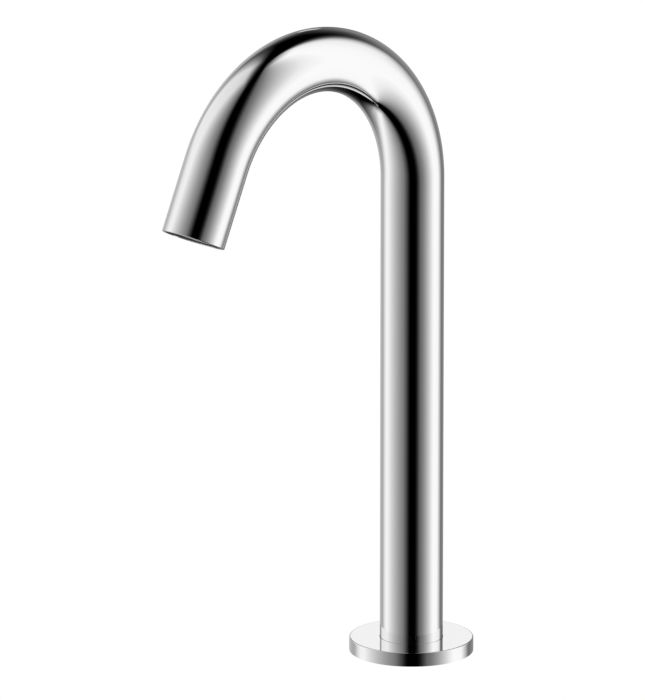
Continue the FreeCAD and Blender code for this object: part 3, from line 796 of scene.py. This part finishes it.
class OBJECT_OT_tap_shank(bpy.types.Operator):
    """Turns the brass shank with its spigot, cuts its thread and makes the nut that runs on it"""
    bl_idname = "object.tap_shank"
    bl_label = "Shank and nut"

    # The relief between thread and shoulder: its depth, its four heights, and where the thread runs into it.
    RELIEF, RELIEF_HEIGHTS, THREAD_END = 0.85, (-3.6, -3.0, -1.6, -1.2), -2.5

    def execute(self, context):
        self.shank()
        self.nut()
        return {"FINISHED"}

    def shank(self):
        low, high, outer = span("mounting_shank")
        step = span("inlet_block")[1] - BARB_LENGTH
        clip_low, clip_high, _ = span("retaining_clip")
        foot, lower, upper, top = self.RELIEF_HEIGHTS
        neck = outer - self.RELIEF
        shank = turned("threaded_shank", [
            (outer - 1.0, low), (outer, low + 1.0), (outer, foot), (neck, lower), (neck, upper),
            (outer, top), (outer, SHOULDER), (SPIGOT_RADIUS, SHOULDER), (SPIGOT_RADIUS, high - 0.5),
            (SPIGOT_RADIUS - 0.1, high - 0.15), (SPIGOT_RADIUS - 0.4, high), (SHANK_BORE + 0.3, high),
            (SHANK_BORE, high - 0.3), (SHANK_BORE, step), (BLOCK_BORE, step),
            (BLOCK_BORE, clip_high + CLIP_PLAY),
            (CLIP_GROOVE, clip_high + CLIP_PLAY), (CLIP_GROOVE, clip_low - CLIP_PLAY),
            (BLOCK_BORE, clip_low - CLIP_PLAY), (BLOCK_BORE, low + 0.2), (BLOCK_BORE + 0.2, low)], 128)
        cut_thread(shank, outer, -SHANK_THREAD, SHANK_PITCH, low - SHANK_PITCH, self.THREAD_END)
        smooth(shank)
        finish_piece(shank, "tap", "machined_brass", "brass", "mounting_shank")

    def nut(self):
        low, high, corner = span("mounting_nut")
        flat = corner * math.cos(HEXAGON_HALF)
        nut = cylinder("hexagon_nut", 6, corner, high - low, (0, 0, 0.5 * (low + high)), (0, 0, HEXAGON_HALF))
        chamfer, collar = (corner - flat) * math.tan(HEXAGON_HALF), high - 1.0
        envelope = turned("envelope", [
            (flat - 0.9, low - 0.52), (corner + 0.1, low + chamfer), (corner + 0.1, high - 1.6),
            (flat + 0.4, collar), (flat - 0.02, collar), (flat - 0.02, high - 0.2), (flat - 0.22, high)],
            128, hollow=False)
        combine(nut, envelope, "INTERSECT")
        bore = SHANK_RADIUS + 0.05
        combine(nut, turned("bore", [
            (bore + 0.9, low - 0.2), (bore, low + 0.7), (bore, high - 0.7), (bore + 0.9, high + 0.2)],
            128, hollow=False))
        soften(nut, 0.12, angle=40.0)
        cut_thread(nut, bore, NUT_THREAD, SHANK_PITCH, low - SHANK_PITCH, high + SHANK_PITCH)
        smooth(nut)
        finish_piece(nut, "nut", "machined_brass", "brass", "mounting_nut")


class OBJECT_OT_tap_washers(bpy.types.Operator):
    """Makes the flat rings of the clamp, the base plate and its gasket, with their edges rounded"""
    bl_idname = "object.tap_washers"
    bl_label = "Washers and plate"

    RINGS = (
        ("rubber_ring", "rubber_washer", WASHER_BORE, 0.35, "clamp_washers", "soft_rubber", "rubber"),
        ("steel_ring", "steel_washer", WASHER_BORE, 0.25, "clamp_washers", "satin_steel", "steel"),
        ("foot_gasket", "deck_gasket", WASHER_BORE, 0.2, "tap", "soft_rubber", "rubber"),
        ("foot_plate", "base_plate", PLATE_BORE, 0.2, "tap", "satin_steel", "steel"),
    )

    def execute(self, context):
        for name, solid, bore, edge, body, finish, slot in self.RINGS:
            low, high, outer = span(solid)
            washer = turned(name, rounded_ring(outer, bore, low, high, edge), 128)
            smooth(washer)
            finish_piece(washer, body, finish, slot, solid)
        return {"FINISHED"}


class OBJECT_OT_tap_inlet(bpy.types.Operator):
    """Makes the inlet block with its port and hose tail, its spring clip, and the lead's socket and pins"""
    bl_idname = "object.tap_inlet"
    bl_label = "Inlet and socket"

    def execute(self, context):
        low, high, outer = span("inlet_block")
        top = high - BARB_LENGTH
        near, far = (corner.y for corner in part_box("lead_socket"))
        centre = 0.5 * (near + far) / MM
        self.block(low, top, outer, centre)
        self.clip()
        self.socket(low, top, centre)
        self.pins(centre)
        return {"FINISHED"}

    def block(self, low, top, outer, centre):
        block = turned("brass_inlet", [
            (outer - 0.4, low), (outer, low + 0.4), (outer, top - 0.4), (outer - 0.4, top)],
            128, hollow=False)
        combine(block, hose_barb("hose_tail", top, top + BARB_LENGTH), "UNION")
        port = PORT_RADIUS
        combine(block, turned("port", [
            (port + 0.9, low - 0.2), (port, low + 0.7), (port, low + PORT_DEPTH),
            (WATER_RADIUS, low + PORT_DEPTH + 0.9), (WATER_RADIUS, top + BARB_LENGTH + 1.0)],
            96, AERATOR_OFFSET, hollow=False))
        hole = span("lead_socket")[2] + 0.02
        combine(block, turned("socket_hole", [(hole, low - 1.0), (hole, top + 1.0)], 64, centre,
                              hollow=False))
        cut_thread(block, port, PORT_THREAD, PORT_PITCH, low - PORT_PITCH, low + PORT_DEPTH - PORT_PITCH,
                   AERATOR_OFFSET)
        smooth(block)
        finish_piece(block, "tap", "machined_brass", "brass", "inlet_block")

    def clip(self):
        low, high, outer = span("retaining_clip")
        clip = turned("spring_clip", rounded_ring(outer, outer - CLIP_WIDTH, low, high, 0.15), 128)
        reach = 2.0 * outer
        gap = cuboid("gap", (2.0 * reach * math.tan(0.5 * CLIP_GAP), reach, 4.0), (0, 0.5 * reach, low))
        edit(gap)
        select_where(gap, "verts", lambda vert: vert.co.y < 0.1 * reach * MM)
        bpy.ops.transform.resize(value=(0.001, 1, 1), center_override=(0, 0, low * MM))
        bpy.ops.object.mode_set(mode="OBJECT")
        combine(clip, gap)
        soften(clip, 0.2, 3, 60.0)
        middle = outer - 0.5 * CLIP_WIDTH
        for side in (-1, 1):
            turn = side * (0.5 * CLIP_GAP + CLIP_EYE / middle)
            combine(clip, cylinder("eye", 32, CLIP_HOLE, 4.0,
                                   (middle * math.sin(turn), middle * math.cos(turn), low)))
        smooth(clip)
        finish_piece(clip, "tap", "satin_steel", "steel", "retaining_clip")

    def socket(self, low, top, centre):
        radius = span("lead_socket")[2]
        socket = turned("plug_socket", [
            (SOCKET_BORE + 0.15, low), (radius - 0.1, low), (radius, low + 0.1), (radius, top - 0.3),
            (radius - 0.3, top), (0.2, top), (0.2, low + SOCKET_DEPTH), (SOCKET_BORE, low + SOCKET_DEPTH),
            (SOCKET_BORE, low + 0.2)], 64, centre)
        key = cuboid("key", KEY_SIZE, (0, centre + SOCKET_BORE, low + KEY_MIDDLE))
        soften(key, 0.1)
        combine(socket, key, "UNION")
        smooth(socket)
        finish_piece(socket, "tap", "black_plastic", "black_plastic", "lead_socket")

    def pins(self, centre, count=3, radius=0.35, circle=1.1):
        low, high, _ = span("socket_pins")
        made = []
        for index in range(count):
            angle = 2 * math.pi * index / count
            pin = turned("single_pin", [
                (0.12, low), (0.25, low + 0.08), (radius, low + 0.3), (radius, high - 0.1),
                (radius - 0.1, high)], 24, centre, hollow=False)
            edit(pin, "SELECT")
            bpy.ops.transform.translate(value=(
                circle * math.sin(angle) * MM, circle * math.cos(angle) * MM, 0))
            bpy.ops.object.mode_set(mode="OBJECT")
            made.append(pin)
        pins = joined("contact_pins", made)
        smooth(pins)
        finish_piece(pins, "tap", "contact_gold", "gold_pins", "socket_pins")


# ---- the studio

class OBJECT_OT_tap_studio(bpy.types.Operator):
    """Sets up the pale floor, the studio walls of light and the camera"""
    bl_idname = "object.tap_studio"
    bl_label = "Studio"

    # The picture's middle, in metres to the right and up as the camera sees it.
    MIDDLE_RIGHT, MIDDLE_UP = -0.03953, 0.13316
    # The dark gap overhead: where each wall starts beside it, and how that changes with height.
    RIGHT_START, RIGHT_SPREAD, RIGHT_CURVE = 0.12, 0.25, -0.3
    LEFT_START, LEFT_SPREAD = -0.115, 0.08
    AHEAD_SHIFT, LOW_SHIFT, GAMMA = 0.05, 0.08, 2.2
    # Each lamp's name, distance to the side, height and share of the power, and how far round they all stand.
    LAMPS = (("top", 0.3, 2.2, 1.0), ("front", 2.2, 1.0, 0.7), ("low", 1.0, -2.0, 0.6))
    LAMP_TURN = 0.7

    def execute(self, context):
        self.floor()
        self.surroundings(context.scene)
        self.lamps(context.scene)
        self.camera(context.scene)
        context.scene.view_settings.view_transform = "Standard"
        return {"FINISHED"}

    def floor(self):
        deselect_all()
        bpy.ops.mesh.primitive_plane_add(size=8.0, location=(0, 0, 0))
        floor = bpy.context.object
        floor.name = "studio_floor"
        floor.visible_glossy = False
        tree, shader, place = surface("pale_floor", (0.8, 0.8, 0.8), 0.9)
        tint(tree, shader, noise(tree, place, 3.0), (0.8, 0.8, 0.8), 0.02)
        path = node(tree, "ShaderNodeLightPath")
        back = node(tree, "ShaderNodeNewGeometry").outputs["Backfacing"]
        white = node(tree, "ShaderNodeEmission", {"Color": (1, 1, 1, 1), "Strength": 1.0}).outputs[0]
        clear = node(tree, "ShaderNodeBsdfTransparent").outputs[0]
        seen = node(tree, "ShaderNodeMixShader",
                    {0: path.outputs["Is Camera Ray"], 1: shader.outputs[0], 2: white})
        both = node(tree, "ShaderNodeMixShader", {0: back, 1: seen.outputs[0], 2: clear})
        tree.links.new(both.outputs[0], tree.nodes["Material Output"].inputs["Surface"])
        floor.data.materials.append(bpy.data.materials["pale_floor"])

    def surroundings(self, scene):
        """Pale walls at both sides and behind the tap, and darkness behind the camera."""
        world = bpy.data.worlds.new("studio_walls")
        world.use_nodes = True
        scene.world = world
        tree = world.node_tree
        way = node(tree, "ShaderNodeTexCoord").outputs["Generated"]
        turn = scene.tap_studio.turn

        def value(operation, *values):
            return maths(tree, operation, *values)

        def towards(x, y):
            """How far a direction leads along this level line."""
            return node(tree, "ShaderNodeVectorMath", {0: way, 1: (x, y, 0)},
                        operation="DOT_PRODUCT").outputs["Value"]

        def wall(past, ahead, stops, lean, edge):
            """One side of the studio, by the angle round from the camera, dimmed beside the dark gap."""
            angle = value("ARCTAN2", value("MAXIMUM", past, 0.0), ahead)
            bright = ramp(tree, value("DIVIDE", angle, math.pi),
                          [(degrees / 180, level / 255) for degrees, level in stops])
            return value("MINIMUM", bright, ramp(tree, lean, edge))

        def by_height(stops):
            """A value that changes with the angle above or below the level of the eye."""
            return ramp(tree, value("MULTIPLY_ADD", value("ARCSINE", up), 1 / math.pi, 0.5),
                        [((degrees + 90) / 180, level / 255) for degrees, level in stops])

        to_camera = towards(math.sin(turn), -math.cos(turn))
        to_right = towards(math.cos(turn), math.sin(turn))
        up = node(tree, "ShaderNodeSeparateXYZ", {0: way}).outputs["Z"]
        steep, above = value("ABSOLUTE", up), value("MAXIMUM", up, 0.0)
        spread = value("MULTIPLY_ADD", above, self.RIGHT_CURVE, self.RIGHT_SPREAD)
        right_start = value("MULTIPLY_ADD", above, spread, self.RIGHT_START)
        left_start = value("MULTIPLY_ADD", steep, self.LEFT_SPREAD, self.LEFT_START)
        ahead = value("MULTIPLY_ADD", above, self.AHEAD_SHIFT, to_camera)
        low = value("MULTIPLY", value("MAXIMUM", value("MULTIPLY", up, -1.0), 0.0), self.LOW_SHIFT)
        right = wall(value("SUBTRACT", to_right, right_start), ahead, [
            (0, 2), (8, 24), (22, 100), (31, 120), (56, 190), (75, 240), (86, 255), (104, 252), (124, 240),
            (135, 195), (146, 90), (157, 25), (165, 4)],
            value("ADD", to_right, low),
            [(0.0, 0.04), (0.1, 0.27), (0.2, 0.62), (0.3, 0.87), (0.4, 1.0)])
        left = wall(value("SUBTRACT", left_start, to_right), to_camera, [
            (0, 3), (5, 22), (12, 62), (20, 98), (27, 123), (57, 176), (82, 219), (100, 247), (143, 240),
            (154, 168), (164, 78), (176, 5)],
            value("SUBTRACT", low, to_right),
            [(0.0, 0.03), (0.1, 0.25), (0.2, 0.7), (0.3, 0.98), (0.35, 1.0)])
        left = value("MULTIPLY", left, by_height([(0, 255), (30, 247), (60, 232), (90, 190)]))
        around = value("MULTIPLY_ADD", value("ARCTAN2", to_right, to_camera), 0.5 / math.pi, 0.5)
        seams = ramp(tree, around, [
            (0.06, 0.5), (0.09, 0.95), (0.115, 1.0), (0.139, 0.8), (0.167, 0.3), (0.195, 0.0), (0.8, 0.0),
            (0.833, 0.6), (0.86, 1.0)])
        seams = value("MULTIPLY", seams, by_height([
            (-75, 40), (-60, 80), (-45, 112), (-30, 92), (-12, 80), (5, 42), (15, 0)]))
        walls = value("MAXIMUM", right, left)
        walls = value("MULTIPLY", walls, value("SUBTRACT", 1.0, seams))
        backdrop = ramp(tree, around, [
            (0.0, 0.6), (0.04, 0.92), (0.14, 0.78), (0.2, 0.5), (0.3, 0.0), (0.8, 0.0), (0.85, 0.5),
            (0.9, 0.6), (0.96, 0.7), (1.0, 0.5)])
        backdrop = value("MULTIPLY", backdrop, by_height([
            (-60, 5), (-45, 66), (-30, 190), (-15, 208), (0, 220), (15, 188), (30, 90), (45, 6)]))
        strip = ramp(tree, value("ABSOLUTE", to_right), [(0.04, 1.0), (0.08, 0.0)])
        strip = value("MULTIPLY", strip, by_height([(12.5, 0), (14.5, 245), (18, 245), (20, 0)]))
        strip = value("MULTIPLY", strip, value("LESS_THAN", to_camera, 0.0))
        bright = value("MAXIMUM", walls, value("MAXIMUM", backdrop, strip))
        light = value("MULTIPLY", value("POWER", bright, self.GAMMA), scene.tap_studio.wall_light)
        path = node(tree, "ShaderNodeLightPath")
        seen = value("MAXIMUM", path.outputs["Is Camera Ray"], path.outputs["Is Transmission Ray"])
        shown = node(tree, "ShaderNodeMix", {"Factor": seen, "A": light, "B": 1.0},
                     data_type="FLOAT").outputs[0]
        background = tree.nodes["Background"]
        background.inputs["Color"].default_value = (1, 1, 1, 1)
        tree.links.new(shown, background.inputs["Strength"])

    def lamps(self, scene):
        """Three wide soft lamps that polished metal doesn't show: above, before and below the tap."""
        turn, power = scene.tap_studio.turn - self.LAMP_TURN, scene.tap_studio.lamp_power
        for name, side, height, share in self.LAMPS:
            data = bpy.data.lights.new(name + "_lamp", "AREA")
            data.shape, data.size, data.energy = "SQUARE", 2.0, power * share
            lamp = bpy.data.objects.new(name + "_lamp", data)
            scene.collection.objects.link(lamp)
            place = Vector((side * math.sin(turn), -side * math.cos(turn), height))
            facing = place.to_track_quat("Z", "Y").to_matrix().to_4x4()
            lamp.matrix_world = Matrix.Translation(place) @ facing
            lamp.visible_glossy = False
            lamp.visible_camera = False

    def camera(self, scene):
        studio = scene.tap_studio
        across = Vector((math.cos(studio.turn), math.sin(studio.turn), 0))
        back = Vector((math.sin(studio.turn) * math.cos(studio.tilt),
                       -math.cos(studio.turn) * math.cos(studio.tilt), math.sin(studio.tilt)))
        up = back.cross(across)
        middle = self.MIDDLE_RIGHT * across + self.MIDDLE_UP * up
        data = bpy.data.cameras.new("picture_camera")
        data.sensor_fit = "AUTO"
        data.sensor_width = 36.0
        data.lens = studio.lens
        data.clip_end = 50.0
        camera = bpy.data.objects.new("picture_camera", data)
        scene.collection.objects.link(camera)
        camera.matrix_world = Matrix.Translation(middle + back * studio.distance) @ Matrix(
            (across, up, back)).transposed().to_4x4()
        scene.camera = camera


# ---- the add-on

STEPS = ("tap_finishes", "tap_spout", "tap_flange", "tap_outlet", "tap_aerator", "tap_window", "tap_shank",
         "tap_washers", "tap_inlet", "tap_studio")


class VIEW3D_PT_tap(bpy.types.Panel):
    """Lists the steps that build the tap"""
    bl_label = "Tap"
    bl_idname = "VIEW3D_PT_tap"
    bl_space_type = "VIEW_3D"
    bl_region_type = "UI"
    bl_category = "Tap"

    def draw(self, context):
        for step in STEPS:
            self.layout.operator("object." + step)


CLASSES = (TapSizes, TapFinishes, StudioSettings, OBJECT_OT_tap_finishes, OBJECT_OT_tap_spout,
           OBJECT_OT_tap_flange, OBJECT_OT_tap_outlet, OBJECT_OT_tap_aerator, OBJECT_OT_tap_window,
           OBJECT_OT_tap_shank, OBJECT_OT_tap_washers, OBJECT_OT_tap_inlet, OBJECT_OT_tap_studio,
           VIEW3D_PT_tap)


def register():
    for cls in CLASSES:
        bpy.utils.register_class(cls)
    bpy.types.Scene.tap_sizes = PointerProperty(type=TapSizes)
    bpy.types.Scene.tap_finishes = PointerProperty(type=TapFinishes)
    bpy.types.Scene.tap_studio = PointerProperty(type=StudioSettings)


def unregister():
    del bpy.types.Scene.tap_studio
    del bpy.types.Scene.tap_finishes
    del bpy.types.Scene.tap_sizes
    for cls in reversed(CLASSES):
        bpy.utils.unregister_class(cls)


def main():
    register()
    for step in STEPS:
        getattr(bpy.ops.object, step)()


if __name__ == "__main__":
    main()
